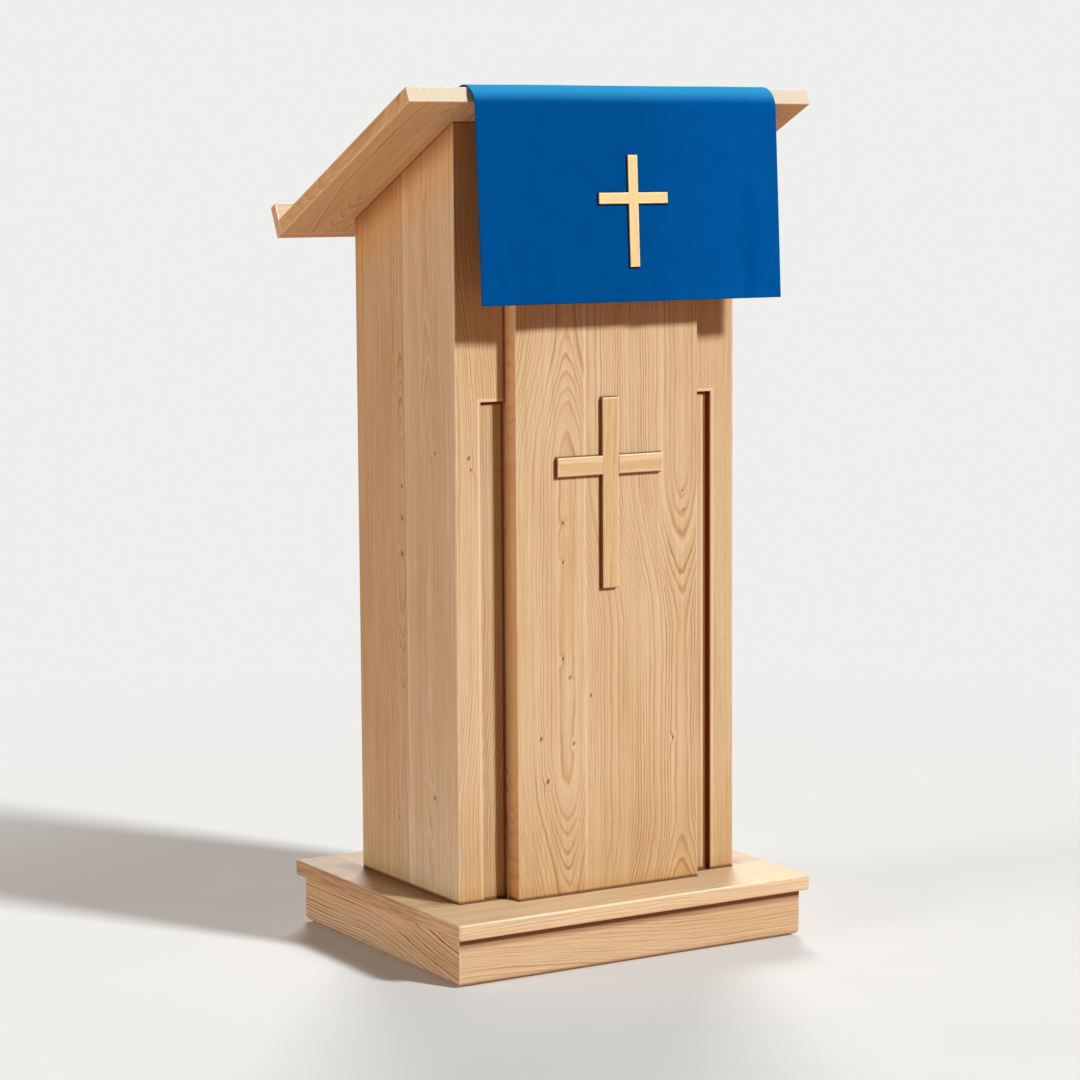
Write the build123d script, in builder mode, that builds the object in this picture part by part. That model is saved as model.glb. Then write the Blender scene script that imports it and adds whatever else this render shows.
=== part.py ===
"""Wooden pulpit: an open-backed body on a stepped base, with a sloping desk and a hanging cloth.

Millimetres, +Z up, origin at the bottom centre of the whole pulpit. The front, with the cloth and
the crosses, faces -Y. The speaker stands on the +Y side.
"""
from build123d import *
from math import cos, radians, sin, tan
import os

# Base
SLAB_W, SLAB_D, SLAB_T = 576, 486, 22       # slab under the body
SLAB_TOP = 90                               # height of the slab's top face
SLAB_ROUND, SLAB_CORNER = 3, 5              # rounding of the slab's edges and corners
PLINTH_SIDE_INSET, PLINTH_END_INSET = 9, 15     # plinth behind the slab's edge: sides, front and rear
PLINTH_T = 20                               # thickness of the plinth boards
PLINTH_ROUND = 7                            # rounding at the foot of the plinth
PAD_R, PAD_T = 16, 2                        # floor pads
BLOCK_W = 40                                # glue blocks in the plinth corners
BEARER_W, BEARER_H = 20, 50                 # centre bearer under the slab

# Body
BODY_W = 453                                # outer width
BODY_FRONT, BODY_REAR = -137, 147           # outer faces across Y
BOARD_T = 22                                # sides, stiles and backing board
SIDE_SEAM = 3                               # glue line between the two boards of a side
ARRIS = 1                                   # small chamfer on the body's mitred front corners
EASE = 1.5                                  # eased arrises of free edges
PANEL_W, PANEL_T = 296, 27                  # raised centre panel
PANEL_SEAM = -38                            # glue line between its two boards
PANEL_ROUND = 2                             # rounded front corners of the raised panel
REBATE_W, REBATE_T, REBATE_TOP = 39, 7, 779     # rebates beside the raised panel
TONGUE_L, TONGUE_T = 6, 6                   # tongues of the backing board
TONGUE_SETBACK = 11.5                       # stile face to tongue

# Desk
DESK_W, DESK_L, DESK_T = 642, 418, 22       # board, L is along the slope
DESK_SLOPE = 25                             # degrees, falling towards the speaker
DESK_FRONT_Y, DESK_FRONT_Z = -181, 1200     # upper front arris
LEDGE_T, LEDGE_H = 14.5, 48                 # book ledge behind the desk's low edge
LEDGE_ROUND = 3

# Rails, cleats and shelf inside the body
RAIL_T = 22
FRONT_RAIL_BOTTOM, REAR_RAIL_BOTTOM = 1070, 965
KICK_H = 70
DESK_CLEAT_W, DESK_CLEAT_H = 25, 33
FLOOR_CLEAT = 22                            # square section
SHELF_T, SHELF_BOTTOM = 18, 700
SHELF_SIDE_GAP, SHELF_FRONT_GAP, SHELF_SETBACK = 2, 3, 7
PIN_ROWS, PIN_PITCH = 7, 32                 # pin holes in each column
PIN_COLUMNS = (-75, 107)                    # Y of the two columns in each side
PIN_HOLE_R, PIN_HOLE_DEPTH = 2.5, 10
PIN_PLATE_L, PIN_PLATE_W, PIN_PLATE_T = 9, 10, 2
PIN_CLEARANCE = 0.1                         # under the loose shelf

# Crosses
PANEL_CROSS_BAR, PANEL_CROSS_T = 26, 8
PANEL_CROSS_BOTTOM, PANEL_CROSS_TOP, PANEL_CROSS_ARM_Z, PANEL_CROSS_SPAN = 516, 780, 687, 171
PANEL_CROSS_EASE = 1.6
CLOTH_CROSS_BAR, CLOTH_CROSS_T = 15, 3
CLOTH_CROSS_BOTTOM, CLOTH_CROSS_TOP, CLOTH_CROSS_ARM_Z, CLOTH_CROSS_SPAN = 959, 1110, 1052, 110
CLOTH_CROSS_EASE = 0.8

# Cloth, as it lies over the desk's front edge
CLOTH_W, CLOTH_T, CLOTH_X = 482, 2.6, 12
CLOTH_GAP = 0.4                             # clear of the desk
CLOTH_REACH = 290                           # from the front arris, down the slope
CLOTH_LIFT = 64                             # where it leaves the desk before the fold
CLOTH_FOLD = (-200, 1228.7)                 # where its two straight runs would meet (Y, Z)
CLOTH_HEM = (-214.7, 912)
CLOTH_BEND_R, CLOTH_FOLD_R = 60, 30.7

# Screws and dowels
SCREW_R, SCREW_HEAD_R = 2.25, 4.5           # 90 degree countersunk head
SCREW_SLOT_L, SCREW_SLOT_W, SCREW_SLOT_T = 4.5, 1, 1.2
SLAB_SCREW_L, PANEL_SCREW_L, CLEAT_SCREW_L, DESK_SCREW_L = 40, 40, 38, 46
CLEAT_SCREW_Y = (-70, 15, 100)              # slab to floor cleats, desk cleats to sides
FLOOR_CLEAT_SCREW_Y = (-45, 40)             # floor cleats to sides
DESK_SCREW_Y = (-45, 75)                    # desk cleats to desk
KICK_SCREW_X = (-110, 110)                  # slab to kick rail
PANEL_SCREW_X, PANEL_SCREW_Z = (-93, 10, 110), (190, 470, 750, 1030)
DOWEL_R, CROSS_DOWEL_R = 4, 3
RAIL_DOWEL_L, LEDGE_DOWEL_L, PLINTH_DOWEL_L, CROSS_DOWEL_L = 32, 30, 30, 12
RAIL_DOWEL_SHIFT, LEDGE_DOWEL_SHIFT = 4, 7  # a dowel's middle from its joint, in the thicker piece
PLINTH_DOWEL_SHIFT, CROSS_DOWEL_SHIFT = 4, 1
FRONT_RAIL_DOWEL_Z, REAR_RAIL_DOWEL_Z, KICK_DOWEL_Z = (1085, 1120), (979, 1009), (108, 142)
LEDGE_DOWEL_X = (-260, -130, 0, 130, 260)
PLINTH_DOWEL_X, PLINTH_DOWEL_Y = (-150, 150), (-120, 120)
CROSS_DOWEL_Z = (545, 750)

# Derived places
SLAB_BOTTOM = SLAB_TOP - SLAB_T
PLINTH_H = SLAB_BOTTOM - PAD_T
PLINTH_W, PLINTH_D = SLAB_W - 2 * PLINTH_SIDE_INSET, SLAB_D - 2 * PLINTH_END_INSET
HALF_W = BODY_W / 2
INNER_HALF_W = HALF_W - BOARD_T
INNER_FRONT = BODY_FRONT + BOARD_T
PANEL_FACE = BODY_FRONT - PANEL_T
TONGUE_Y = BODY_FRONT + TONGUE_SETBACK + TONGUE_T / 2
PIN_Z = SHELF_BOTTOM - PIN_CLEARANCE - PIN_PLATE_T / 2
RAIL_FRONT, RAIL_REAR = INNER_FRONT + RAIL_T, BODY_REAR - RAIL_T
SLOPE = radians(DESK_SLOPE)
TALL = DESK_FRONT_Z                         # boards stand this tall before the desk's slope cuts them
DESK = Plane(origin=(0, DESK_FRONT_Y, DESK_FRONT_Z), x_dir=(1, 0, 0), z_dir=(0, sin(SLOPE), cos(SLOPE)))
UNDERSIDE = DESK.offset(-DESK_T)
SIDES = {"left": -1, "right": 1}


def save(piece, name):
    """Label a finished piece and write it."""
    piece.part.label = name
    export_step(piece.part, f"parts/{name}.step")


def under_desk(y):
    """Height of the desk's underside at y."""
    return DESK_FRONT_Z - (y - DESK_FRONT_Y) * tan(SLOPE) - DESK_T / cos(SLOPE)


def facing(x, y, z, direction):
    """Plane at a point with its normal along direction."""
    return Plane(origin=(x, y, z), z_dir=direction)


# ---- screws and dowels -------------------------------------------------------------------------

def screw_places(kind):
    """Head planes of each set of screws; each screw runs against its plane's normal."""
    places = []
    if kind == "slab":
        for sign in SIDES.values():
            x = sign * (INNER_HALF_W - FLOOR_CLEAT / 2)
            places += [facing(x, y, SLAB_BOTTOM, (0, 0, -1)) for y in CLEAT_SCREW_Y]
        kick_y = BODY_REAR - RAIL_T / 2
        places += [facing(x, kick_y, SLAB_BOTTOM, (0, 0, -1)) for x in KICK_SCREW_X]
    if kind == "floor_cleat":
        for sign in SIDES.values():
            x, z = sign * (INNER_HALF_W - FLOOR_CLEAT), SLAB_TOP + FLOOR_CLEAT / 2
            places += [facing(x, y, z, (-sign, 0, 0)) for y in FLOOR_CLEAT_SCREW_Y]
    if kind == "desk_cleat":
        for sign in SIDES.values():
            x = sign * (INNER_HALF_W - DESK_CLEAT_W)
            for y in CLEAT_SCREW_Y:
                places.append(facing(x, y, under_desk(y) - DESK_CLEAT_H / 2, (-sign, 0, 0)))
    if kind == "desk":
        down = (0, -sin(SLOPE), -cos(SLOPE))
        for sign in SIDES.values():
            x = sign * (INNER_HALF_W - DESK_CLEAT_W / 2)
            places += [facing(x, y, under_desk(y) - DESK_CLEAT_H, down) for y in DESK_SCREW_Y]
    if kind == "panel":
        for x in PANEL_SCREW_X:
            places += [facing(x, INNER_FRONT, z, (0, 1, 0)) for z in PANEL_SCREW_Z]
    return places


def screw_holes(places, length):
    """Countersunk holes for a set of screws, cut from the piece being built."""
    with Locations(*places):
        CounterSinkHole(SCREW_R, SCREW_HEAD_R, depth=length, counter_sink_angle=90)


def pilot_holes(places, length):
    """The far ends of a set of screws, cut from the piece being built."""
    with Locations(*places):
        Hole(SCREW_R, depth=length)


def make_screws(name, places, length):
    """One node of identical countersunk screws."""
    head = SCREW_HEAD_R - SCREW_R
    with BuildPart(mode=Mode.PRIVATE) as screw:
        with BuildSketch(Plane.XZ):
            Polygon((0, 0), (SCREW_HEAD_R, 0), (SCREW_R, -head), (SCREW_R, SCREW_R - length),
                    (0, -length), align=None)
        revolve(axis=Axis.Z)
        with BuildSketch():
            with Locations((0, 0), Location((0, 0, 0), 90)):
                Rectangle(SCREW_SLOT_L, SCREW_SLOT_W)
        extrude(amount=-SCREW_SLOT_T, mode=Mode.SUBTRACT)
    with BuildPart() as screws:
        with Locations(*places):
            add(screw.part)
    save(screws, name)


def dowel_places(kind):
    """Middle and direction of each dowel of a set."""
    places = []
    if kind == "rail":
        front_y, rear_y = INNER_FRONT + RAIL_T / 2, BODY_REAR - RAIL_T / 2
        spots = [(front_y, z) for z in FRONT_RAIL_DOWEL_Z]
        spots += [(rear_y, z) for z in REAR_RAIL_DOWEL_Z + KICK_DOWEL_Z]
        for sign in SIDES.values():
            x = sign * (INNER_HALF_W - RAIL_DOWEL_SHIFT)
            places += [Location((x, y, z), (0, 90, 0)) for y, z in spots]
    if kind == "ledge":
        low_edge = DESK.location * Location((0, DESK_L - LEDGE_DOWEL_SHIFT, -DESK_T / 2), (-90, 0, 0))
        places += [low_edge * Location((x, 0, 0)) for x in LEDGE_DOWEL_X]
    if kind == "plinth":
        x, y = (PLINTH_W - PLINTH_T) / 2, (PLINTH_D - PLINTH_T) / 2
        spots = [(across, sign * y) for across in PLINTH_DOWEL_X for sign in (-1, 1)]
        spots += [(sign * x, along) for sign in (-1, 1) for along in PLINTH_DOWEL_Y]
        places += [Location((*spot, SLAB_BOTTOM - PLINTH_DOWEL_SHIFT)) for spot in spots]
    if kind == "cross":
        places += [Location((0, PANEL_FACE + CROSS_DOWEL_SHIFT, z), (90, 0, 0)) for z in CROSS_DOWEL_Z]
    return places


DOWELS = {"rail": (DOWEL_R, RAIL_DOWEL_L), "ledge": (DOWEL_R, LEDGE_DOWEL_L),
          "plinth": (DOWEL_R, PLINTH_DOWEL_L), "cross": (CROSS_DOWEL_R, CROSS_DOWEL_L)}


def dowel_holes(kind):
    """Holes for one set of dowels, cut from the piece being built."""
    radius, length = DOWELS[kind]
    with Locations(*dowel_places(kind)):
        Cylinder(radius, length, mode=Mode.SUBTRACT)


def make_dowels(kind):
    """One node with one set of dowels."""
    radius, length = DOWELS[kind]
    with BuildPart() as dowels:
        with Locations(*dowel_places(kind)):
            Cylinder(radius, length)
    save(dowels, f"{kind}_dowels")


# ---- base --------------------------------------------------------------------------------------

def make_base_slab():
    with BuildPart() as slab:
        with BuildSketch(Plane.XY.offset(SLAB_BOTTOM)):
            RectangleRounded(SLAB_W, SLAB_D, SLAB_CORNER)
        extrude(amount=SLAB_T)
        fillet(slab.faces().filter_by(Axis.Z).edges(), SLAB_ROUND)
        screw_holes(screw_places("slab"), SLAB_SCREW_L)
        dowel_holes("plinth")
    save(slab, "base_slab")


def make_plinth():
    """Four mitred boards, each drawn along its own side of the base."""
    boards = {"front": (0, PLINTH_W, PLINTH_D), "right": (90, PLINTH_D, PLINTH_W),
              "rear": (180, PLINTH_W, PLINTH_D), "left": (270, PLINTH_D, PLINTH_W)}
    for name, (turn, length, across) in boards.items():
        foot = Plane.XY.offset(PAD_T).rotated((0, 0, turn))
        outer, inner = -across / 2, -across / 2 + PLINTH_T
        with BuildPart() as board:
            with BuildSketch(foot):
                Polygon((-length / 2, outer), (length / 2, outer),
                        (length / 2 - PLINTH_T, inner), (-length / 2 + PLINTH_T, inner), align=None)
            extrude(amount=PLINTH_H)
            outward = Axis((0, 0, 0), (sin(radians(turn)), -cos(radians(turn)), 0))
            foot_edge = board.edges().group_by(Axis.Z)[0].sort_by(outward)[-1]
            fillet(foot_edge, PLINTH_ROUND)
            dowel_holes("plinth")
        save(board, f"plinth_{name}_board")


def corner_spots():
    """Centres of the four glue blocks."""
    x = PLINTH_W / 2 - PLINTH_T - BLOCK_W / 2
    y = PLINTH_D / 2 - PLINTH_T - BLOCK_W / 2
    return [(-x, -y), (x, -y), (x, y), (-x, y)]


def make_base_blocks():
    with BuildPart() as blocks:
        with BuildSketch(Plane.XY.offset(PAD_T)):
            with Locations(*corner_spots()):
                Rectangle(BLOCK_W, BLOCK_W)
        extrude(amount=PLINTH_H)
        chamfer(blocks.edges().filter_by(Axis.Z), EASE)
    save(blocks, "plinth_corner_blocks")

    with BuildPart() as pads:
        with BuildSketch():
            with Locations(*corner_spots()):
                Circle(PAD_R)
        extrude(amount=PAD_T)
    save(pads, "floor_pads")

    with BuildPart() as bearer:
        with BuildSketch(Plane.XY.offset(SLAB_BOTTOM - BEARER_H)):
            Rectangle(BEARER_W, PLINTH_D - 2 * PLINTH_T)
        extrude(amount=BEARER_H)
        chamfer(bearer.edges().group_by(Axis.Z)[0].filter_by(Axis.Y), EASE)
    save(bearer, "plinth_centre_bearer")


# ---- body --------------------------------------------------------------------------------------

def pin_hole_places(sign, y):
    """One column of pin holes, as planes on the inner face of a side."""
    middle = (PIN_ROWS - 1) / 2
    rows = [PIN_Z + (row - middle) * PIN_PITCH for row in range(PIN_ROWS)]
    return [facing(sign * INNER_HALF_W, y, z, (-sign, 0, 0)) for z in rows]


def make_sides():
    """Each side is two upright boards glued edge to edge, mitred to the stile at the front."""
    for name, sign in SIDES.items():
        front = [(sign * HALF_W, BODY_FRONT + ARRIS),
                 (sign * (HALF_W - ARRIS / 2), BODY_FRONT + ARRIS / 2),
                 (sign * INNER_HALF_W, INNER_FRONT),
                 (sign * INNER_HALF_W, SIDE_SEAM), (sign * HALF_W, SIDE_SEAM)]
        rear = [(sign * HALF_W, SIDE_SEAM), (sign * INNER_HALF_W, SIDE_SEAM),
                (sign * INNER_HALF_W, BODY_REAR), (sign * HALF_W, BODY_REAR)]
        for board_name, outline, column in (("front", front, 0), ("rear", rear, 1)):
            with BuildPart() as board:
                with BuildSketch(Plane.XY.offset(SLAB_TOP)):
                    Polygon(*outline, align=None)
                extrude(amount=TALL)
                split(bisect_by=UNDERSIDE, keep=Keep.BOTTOM)
                if board_name == "rear":
                    rear_edges = board.edges().filter_by(Axis.Z).group_by(Axis.Y)[-1]
                    chamfer(rear_edges, EASE)
                with Locations(*pin_hole_places(sign, PIN_COLUMNS[column])):
                    Hole(PIN_HOLE_R, depth=PIN_HOLE_DEPTH)
                pilot_holes(screw_places("desk_cleat"), CLEAT_SCREW_L)
                pilot_holes(screw_places("floor_cleat"), CLEAT_SCREW_L)
                dowel_holes("rail")
            save(board, f"{name}_side_{board_name}_board")


def make_stiles():
    """Front stiles with a tongue groove and a stopped rebate along the raised panel."""
    panel_half = PANEL_W / 2
    for name, sign in SIDES.items():
        with BuildPart() as stile:
            with BuildSketch(Plane.XY.offset(SLAB_TOP)):
                Polygon((sign * (HALF_W - ARRIS), BODY_FRONT), (sign * panel_half, BODY_FRONT),
                        (sign * panel_half, INNER_FRONT), (sign * INNER_HALF_W, INNER_FRONT),
                        (sign * (HALF_W - ARRIS / 2), BODY_FRONT + ARRIS / 2), align=None)
            extrude(amount=TALL)
            with BuildSketch(Plane.XY.offset(SLAB_TOP)):
                with Locations((sign * (panel_half + TONGUE_L / 2), TONGUE_Y)):
                    Rectangle(TONGUE_L, TONGUE_T)
            extrude(amount=TALL, mode=Mode.SUBTRACT)
            with BuildSketch(Plane.XY.offset(SLAB_TOP)):
                with Locations((sign * (panel_half + REBATE_W / 2), BODY_FRONT + REBATE_T / 2)):
                    Rectangle(REBATE_W, REBATE_T)
            extrude(amount=REBATE_TOP - SLAB_TOP, mode=Mode.SUBTRACT)
            split(bisect_by=UNDERSIDE, keep=Keep.BOTTOM)
        save(stile, f"{name}_front_stile")


def make_backing_board():
    with BuildPart() as backing:
        with BuildSketch(Plane.XY.offset(SLAB_TOP)):
            with Locations((0, BODY_FRONT + BOARD_T / 2)):
                Rectangle(PANEL_W, BOARD_T)
            with Locations((0, TONGUE_Y)):
                Rectangle(PANEL_W + 2 * TONGUE_L, TONGUE_T)
        extrude(amount=TALL)
        split(bisect_by=UNDERSIDE, keep=Keep.BOTTOM)
        screw_holes(screw_places("panel"), PANEL_SCREW_L)
    save(backing, "front_backing_board")


def make_raised_panel():
    """Two boards glued edge to edge, standing proud of the stiles."""
    half = PANEL_W / 2
    for name, low, high in (("left", -half, PANEL_SEAM), ("right", PANEL_SEAM, half)):
        with BuildPart() as board:
            with BuildSketch(Plane.XY.offset(SLAB_TOP)):
                with Locations(((low + high) / 2, BODY_FRONT - PANEL_T / 2)):
                    Rectangle(high - low, PANEL_T)
            extrude(amount=TALL)
            split(bisect_by=UNDERSIDE, keep=Keep.BOTTOM)
            front_edges = board.edges().filter_by(Axis.Z).group_by(Axis.Y)[0].sort_by(Axis.X)
            fillet(front_edges[0] if name == "left" else front_edges[-1], PANEL_ROUND)
            pilot_holes(screw_places("panel"), PANEL_SCREW_L)
            dowel_holes("cross")
        save(board, f"raised_panel_{name}_board")


def make_rails():
    rails = {"front_top_rail": (INNER_FRONT, RAIL_FRONT, FRONT_RAIL_BOTTOM, TALL),
             "rear_top_rail": (RAIL_REAR, BODY_REAR, REAR_RAIL_BOTTOM, TALL),
             "rear_kick_rail": (RAIL_REAR, BODY_REAR, SLAB_TOP, SLAB_TOP + KICK_H)}
    for name, (front, rear, bottom, top) in rails.items():
        with BuildPart() as rail:
            with BuildSketch(Plane.XY.offset(bottom)):
                with Locations((0, (front + rear) / 2)):
                    Rectangle(2 * INNER_HALF_W, rear - front)
            extrude(amount=top - bottom)
            split(bisect_by=UNDERSIDE, keep=Keep.BOTTOM)
            if name == "rear_kick_rail":
                chamfer(rail.edges().filter_by(Axis.X).group_by(Axis.Z)[-1], EASE)
            else:
                chamfer(rail.edges().filter_by(Axis.X).group_by(Axis.Z)[0], EASE)
            dowel_holes("rail")
            pilot_holes(screw_places("slab"), SLAB_SCREW_L)
        save(rail, name)


def make_cleats():
    for name, sign in SIDES.items():
        with BuildPart() as desk_cleat:
            with BuildSketch(Plane.YZ.offset(sign * (INNER_HALF_W - DESK_CLEAT_W / 2))):
                Polygon((RAIL_FRONT, under_desk(RAIL_FRONT)), (RAIL_REAR, under_desk(RAIL_REAR)),
                        (RAIL_REAR, under_desk(RAIL_REAR) - DESK_CLEAT_H),
                        (RAIL_FRONT, under_desk(RAIL_FRONT) - DESK_CLEAT_H), align=None)
            extrude(amount=DESK_CLEAT_W / 2, both=True)
            screw_holes(screw_places("desk_cleat"), CLEAT_SCREW_L)
            screw_holes(screw_places("desk"), DESK_SCREW_L)
        save(desk_cleat, f"{name}_desk_cleat")

        with BuildPart() as floor_cleat:
            with BuildSketch(Plane.XY.offset(SLAB_TOP)):
                with Locations((sign * (INNER_HALF_W - FLOOR_CLEAT / 2), (INNER_FRONT + RAIL_REAR) / 2)):
                    Rectangle(FLOOR_CLEAT, RAIL_REAR - INNER_FRONT)
            extrude(amount=FLOOR_CLEAT)
            inner_edge = floor_cleat.edges().filter_by(Axis.Y).group_by(Axis.Z)[-1].sort_by(Axis.X)
            chamfer(inner_edge[-1] if sign < 0 else inner_edge[0], EASE)
            screw_holes(screw_places("floor_cleat"), CLEAT_SCREW_L)
            pilot_holes(screw_places("slab"), SLAB_SCREW_L)
        save(floor_cleat, f"{name}_floor_cleat")


# ---- desk --------------------------------------------------------------------------------------

def make_desk_board():
    with BuildPart() as desk:
        with BuildSketch(UNDERSIDE):
            with Locations((0, DESK_L / 2)):
                Rectangle(DESK_W, DESK_L)
        extrude(amount=DESK_T)
        joint_face = desk.faces().sort_by(Axis.Y)[-1]
        free_edges = [edge for edge in desk.edges() if edge not in joint_face.edges()]
        fillet(free_edges, EASE)
        pilot_holes(screw_places("desk"), DESK_SCREW_L)
        dowel_holes("ledge")
    save(desk, "desk_board")


def make_book_ledge():
    with BuildPart() as ledge:
        with BuildSketch(UNDERSIDE):
            with Locations((0, DESK_L + LEDGE_T / 2)):
                Rectangle(DESK_W, LEDGE_T)
        extrude(amount=LEDGE_H)
        normal = Axis((0, 0, 0), (0, sin(SLOPE), cos(SLOPE)))
        top_edges = ledge.faces().sort_by(normal)[-1].edges()
        fillet(top_edges, LEDGE_ROUND)
        dowel_holes("ledge")
    save(ledge, "book_ledge")


# ---- shelf -------------------------------------------------------------------------------------

def make_shelf():
    front, rear = INNER_FRONT + SHELF_FRONT_GAP, BODY_REAR - SHELF_SETBACK
    with BuildPart() as shelf:
        with BuildSketch(Plane.XY.offset(SHELF_BOTTOM)):
            with Locations((0, (front + rear) / 2)):
                Rectangle(2 * (INNER_HALF_W - SHELF_SIDE_GAP), rear - front)
        extrude(amount=SHELF_T)
        fillet(shelf.edges().filter_by(Axis.X).group_by(Axis.Y)[-1], LEDGE_ROUND)
    save(shelf, "shelf")


def make_shelf_pins():
    """Pegs with a flat plate, one under each corner of the shelf."""
    with BuildPart() as pins:
        for sign in SIDES.values():
            for y in PIN_COLUMNS:
                with BuildSketch(facing(sign * INNER_HALF_W, y, PIN_Z, (sign, 0, 0))):
                    Circle(PIN_HOLE_R)
                extrude(amount=PIN_HOLE_DEPTH)
                with BuildSketch(Plane.XY.offset(PIN_Z)):
                    with Locations((sign * (INNER_HALF_W - PIN_PLATE_L / 2), y)):
                        Rectangle(PIN_PLATE_L, PIN_PLATE_W)
                extrude(amount=PIN_PLATE_T / 2, both=True)
    save(pins, "shelf_pins")


# ---- crosses -----------------------------------------------------------------------------------

def make_cross(names, plane, bar, thick, bottom, top, arm, span, ease, holes=None):
    """Upright over arm, halved together, with eased front edges, drawn on plane's X and Y."""
    outward = Axis((0, 0, 0), plane.z_dir)
    with BuildPart() as upright:
        with BuildSketch(plane):
            with Locations((0, (bottom + top) / 2)):
                Rectangle(bar, top - bottom)
        extrude(amount=thick)
        front = upright.faces().sort_by(outward)[-1]
        chamfer(front.edges(), ease)
        with BuildSketch(plane):
            with Locations((0, arm)):
                Rectangle(bar, bar)
        extrude(amount=thick / 2, mode=Mode.SUBTRACT)
        if holes:
            dowel_holes(holes)
    save(upright, names[0])

    with BuildPart() as arm_piece:
        with BuildSketch(plane):
            with Locations((0, arm)):
                Rectangle(span, bar)
        extrude(amount=thick)
        front = arm_piece.faces().sort_by(outward)[-1]
        chamfer(front.edges(), ease)
        with BuildSketch(plane.offset(thick / 2)):
            with Locations((0, arm)):
                Rectangle(bar, bar)
        extrude(amount=thick / 2, mode=Mode.SUBTRACT)
    save(arm_piece, names[1])


def make_panel_cross():
    face = Plane(origin=(0, PANEL_FACE, 0), x_dir=(1, 0, 0), z_dir=(0, -1, 0))
    make_cross(("panel_cross_upright", "panel_cross_arm"), face, PANEL_CROSS_BAR, PANEL_CROSS_T,
               PANEL_CROSS_BOTTOM, PANEL_CROSS_TOP, PANEL_CROSS_ARM_Z, PANEL_CROSS_SPAN,
               PANEL_CROSS_EASE, "cross")


# ---- cloth -------------------------------------------------------------------------------------

def make_cloth():
    """A sheet lying on the desk, lifting over its front arris and hanging down in front."""
    lift = CLOTH_GAP + CLOTH_T / 2

    def on_desk(distance):
        """Point of the sheet's middle at a distance down the slope, as (Y, Z)."""
        return (DESK_FRONT_Y + distance * cos(SLOPE) + lift * sin(SLOPE),
                DESK_FRONT_Z - distance * sin(SLOPE) + lift * cos(SLOPE))

    with BuildPart() as cloth:
        with BuildSketch(Plane.YZ.offset(CLOTH_X)):
            with BuildLine():
                FilletPolyline(on_desk(CLOTH_REACH), on_desk(CLOTH_LIFT), CLOTH_FOLD, CLOTH_HEM,
                               radius=(CLOTH_BEND_R, CLOTH_FOLD_R))
            trace(line_width=CLOTH_T)
        extrude(amount=CLOTH_W / 2, both=True)
    save(cloth, "pulpit_cloth")


def make_cloth_cross():
    drop_y, drop_z = CLOTH_HEM[0] - CLOTH_FOLD[0], CLOTH_HEM[1] - CLOTH_FOLD[1]
    drop = (drop_y ** 2 + drop_z ** 2) ** 0.5
    normal = Vector(0, drop_z, -drop_y) / drop
    hem = Vector(CLOTH_X, *CLOTH_HEM) + normal * (CLOTH_T / 2)
    face = Plane(origin=hem, x_dir=(1, 0, 0), z_dir=normal)
    above_hem = [z - CLOTH_HEM[1] for z in (CLOTH_CROSS_BOTTOM, CLOTH_CROSS_TOP, CLOTH_CROSS_ARM_Z)]
    make_cross(("cloth_cross_upright", "cloth_cross_arm"), face, CLOTH_CROSS_BAR, CLOTH_CROSS_T,
               *above_hem, CLOTH_CROSS_SPAN, CLOTH_CROSS_EASE)


def main():
    os.makedirs("parts", exist_ok=True)
    make_base_slab()
    make_plinth()
    make_base_blocks()
    make_sides()
    make_stiles()
    make_backing_board()
    make_raised_panel()
    make_rails()
    make_cleats()
    make_desk_board()
    make_book_ledge()
    make_shelf()
    make_shelf_pins()
    make_panel_cross()
    make_cloth()
    make_cloth_cross()
    make_screws("slab_screws", screw_places("slab"), SLAB_SCREW_L)
    make_screws("panel_screws", screw_places("panel"), PANEL_SCREW_L)
    make_screws("desk_cleat_screws", screw_places("desk_cleat"), CLEAT_SCREW_L)
    make_screws("floor_cleat_screws", screw_places("floor_cleat"), CLEAT_SCREW_L)
    make_screws("desk_screws", screw_places("desk"), DESK_SCREW_L)
    for kind in DOWELS:
        make_dowels(kind)


main()
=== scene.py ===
"""Looks of the wooden pulpit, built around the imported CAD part. Metres, in the frame of the part."""
import math
import random

import bpy
from mathutils import Matrix, Vector


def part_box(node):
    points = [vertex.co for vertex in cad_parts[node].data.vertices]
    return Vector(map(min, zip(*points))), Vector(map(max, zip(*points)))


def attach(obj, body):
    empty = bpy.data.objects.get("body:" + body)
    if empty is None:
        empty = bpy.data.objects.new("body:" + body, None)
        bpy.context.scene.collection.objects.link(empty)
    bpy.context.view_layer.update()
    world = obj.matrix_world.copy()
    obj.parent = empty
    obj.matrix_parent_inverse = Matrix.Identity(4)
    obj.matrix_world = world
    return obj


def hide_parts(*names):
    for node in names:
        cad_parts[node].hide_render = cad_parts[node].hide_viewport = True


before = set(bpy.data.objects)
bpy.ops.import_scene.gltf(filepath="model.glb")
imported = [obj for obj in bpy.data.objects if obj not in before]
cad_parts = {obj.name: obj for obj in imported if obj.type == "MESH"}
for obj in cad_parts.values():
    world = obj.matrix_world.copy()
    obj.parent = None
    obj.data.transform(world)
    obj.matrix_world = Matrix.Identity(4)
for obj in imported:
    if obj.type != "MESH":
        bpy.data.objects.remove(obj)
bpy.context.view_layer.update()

MM = 0.001
DESK_SLOPE = math.radians(25)


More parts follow.
